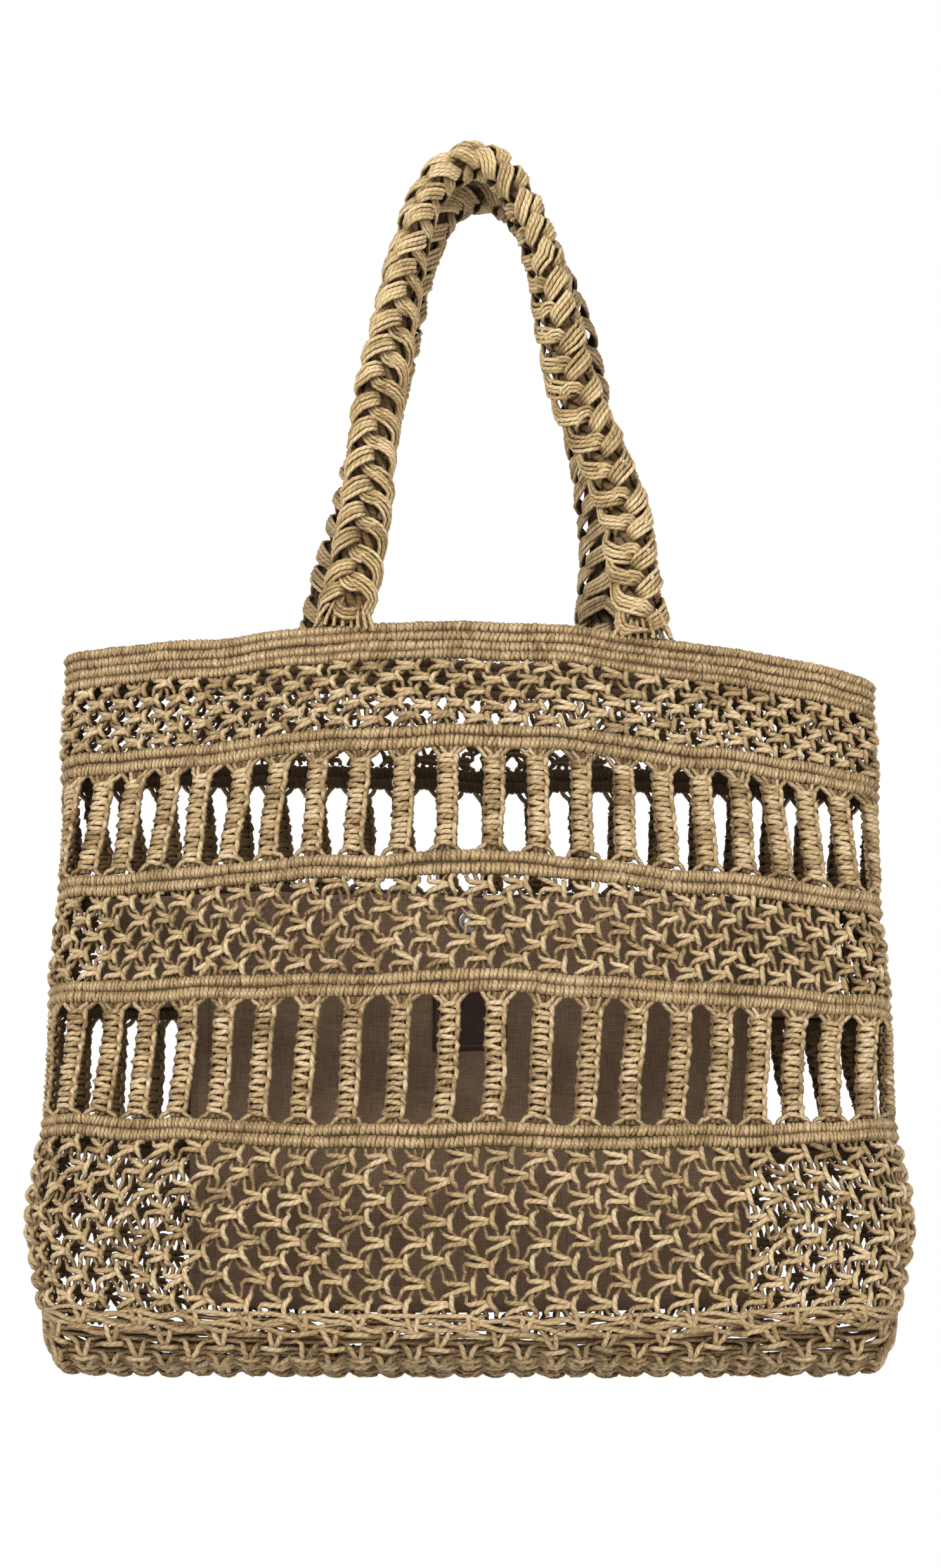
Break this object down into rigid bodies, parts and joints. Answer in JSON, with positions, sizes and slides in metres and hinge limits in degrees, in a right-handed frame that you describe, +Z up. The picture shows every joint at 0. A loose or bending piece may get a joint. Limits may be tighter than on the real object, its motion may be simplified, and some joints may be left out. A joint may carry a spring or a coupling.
{
  "type": "jute tote bag",
  "caption": "Openwork knotted jute tote with ribbed bands, rows of upright sennits, chain-stitched handles and a canvas pouch inside, hanging from its handles.",
  "frame": {"origin": "the hook or peg under the tops of both handles", "axes": "+Z up, +X to the bag's right seen from the front, the front faces -Y"},
  "size_m": [0.4886, 0.1212, 0.7122],
  "materials": {
    "jute": "matte, knotted two-ply jute cord",
    "handle_jute": "matte, chain-stitched bundles of jute cord",
    "canvas": "matte, plain weave",
    "patch": "matte, bare",
    "snap_metal": "worn, satin"
  },
  "bodies": {
    "root": {"rim": "jute", "net_upper": "jute", "band_1": "jute", "sennits_upper": "jute", "band_2": "jute", "net_middle": "jute", "band_3": "jute", "sennits_lower": "jute", "band_4": "jute", "net_lower": "jute", "base": "jute", "handle_front": "handle_jute", "handle_back": "handle_jute", "pouch_strip": "canvas", "pouch": "canvas", "label": "patch", "snap": "snap_metal"}
  },
  "joints": []
}
